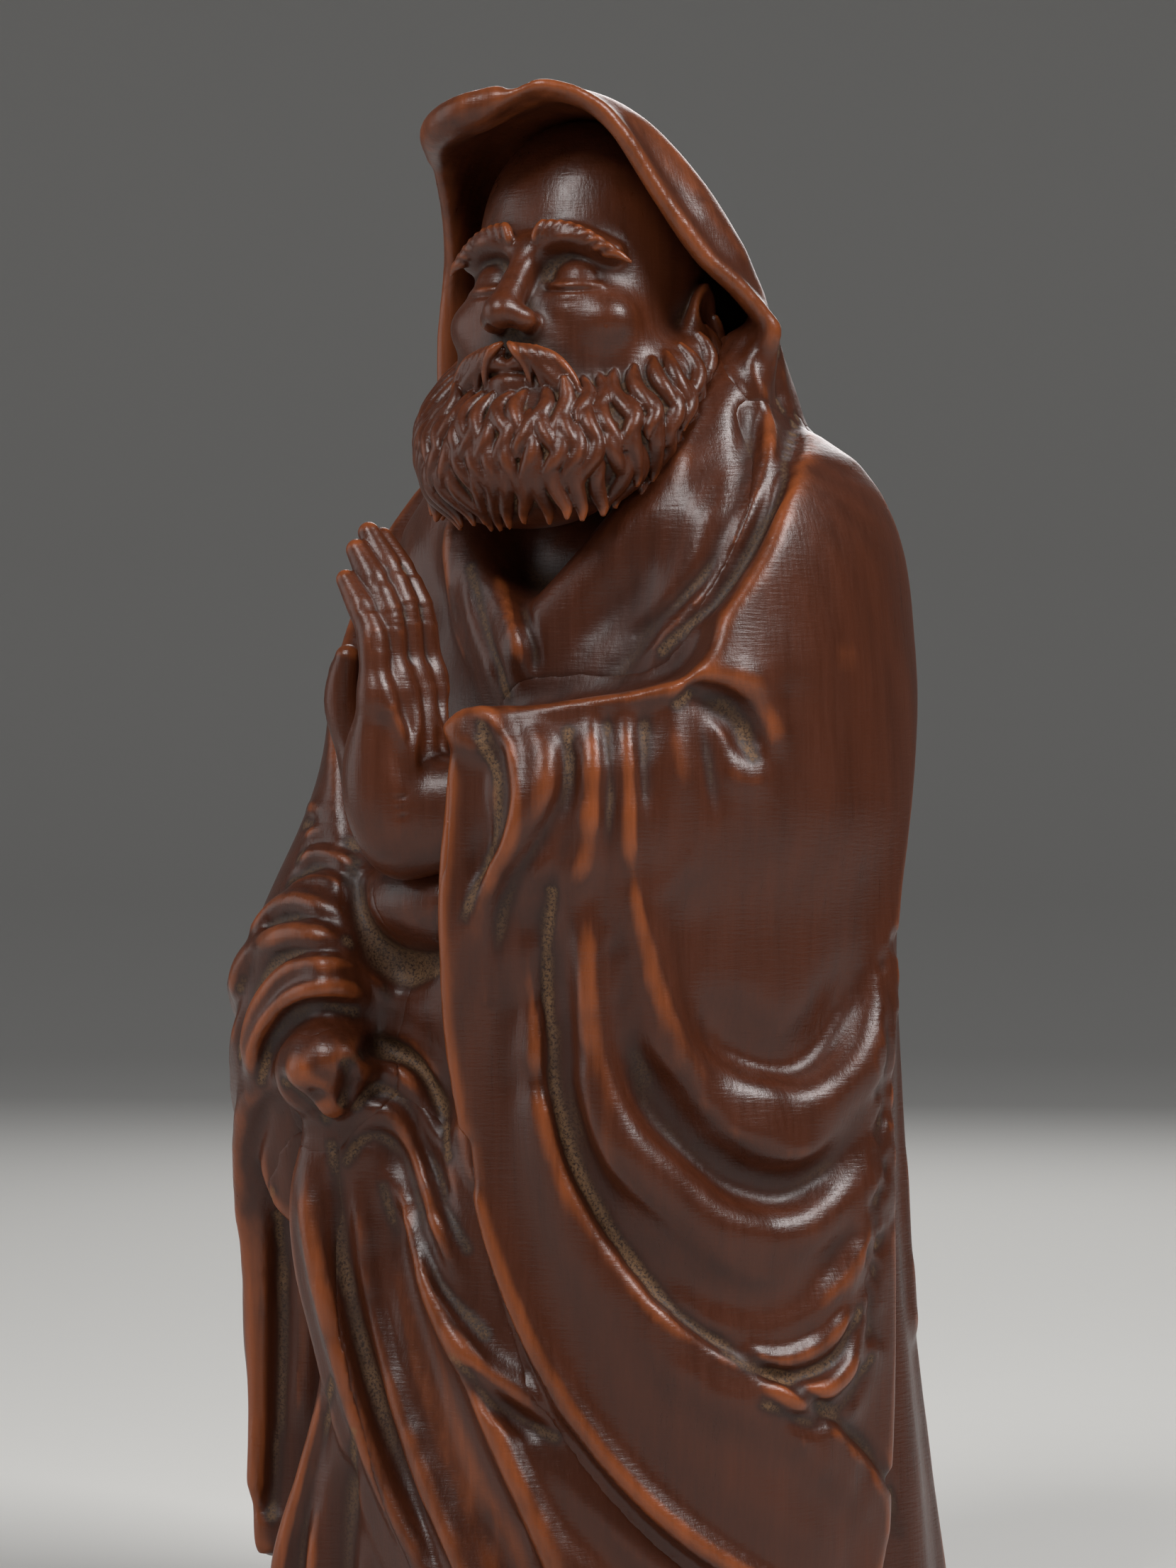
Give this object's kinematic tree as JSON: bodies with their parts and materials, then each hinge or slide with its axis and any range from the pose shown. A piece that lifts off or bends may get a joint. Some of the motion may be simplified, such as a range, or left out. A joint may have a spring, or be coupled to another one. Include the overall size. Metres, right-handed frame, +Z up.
{
  "type": "carved wooden figure",
  "caption": "Standing hooded, bearded old man in a long draped robe, one palm raised and the other hand wrapped in cloth, carved in dark polished boxwood.",
  "frame": {"origin": "on the underside, on the figure's vertical axis", "axes": "+Z up, the figure faces -Y, +X is the figure's left side"},
  "size_m": [0.1009, 0.1039, 0.24],
  "materials": {
    "robe": "old boxwood, dark red-brown patina, satin polish, dust in the recesses",
    "skin": "the same boxwood, handled and more polished on head, hand and feet",
    "peg": "raw boxwood, hidden in the seams"
  },
  "bodies": {
    "root": {"trunk": "robe", "left_arm": "robe", "right_arm": "robe", "front_drape": "robe", "covered_fist": "robe", "hood": "robe", "head": "skin", "raised_hand": "skin", "left_foot": "skin", "right_foot": "skin", "left_arm_upper_peg": "peg", "left_arm_lower_peg": "peg", "right_arm_upper_peg": "peg", "right_arm_lower_peg": "peg", "drape_upper_peg": "peg", "drape_lower_peg": "peg"}
  },
  "joints": []
}
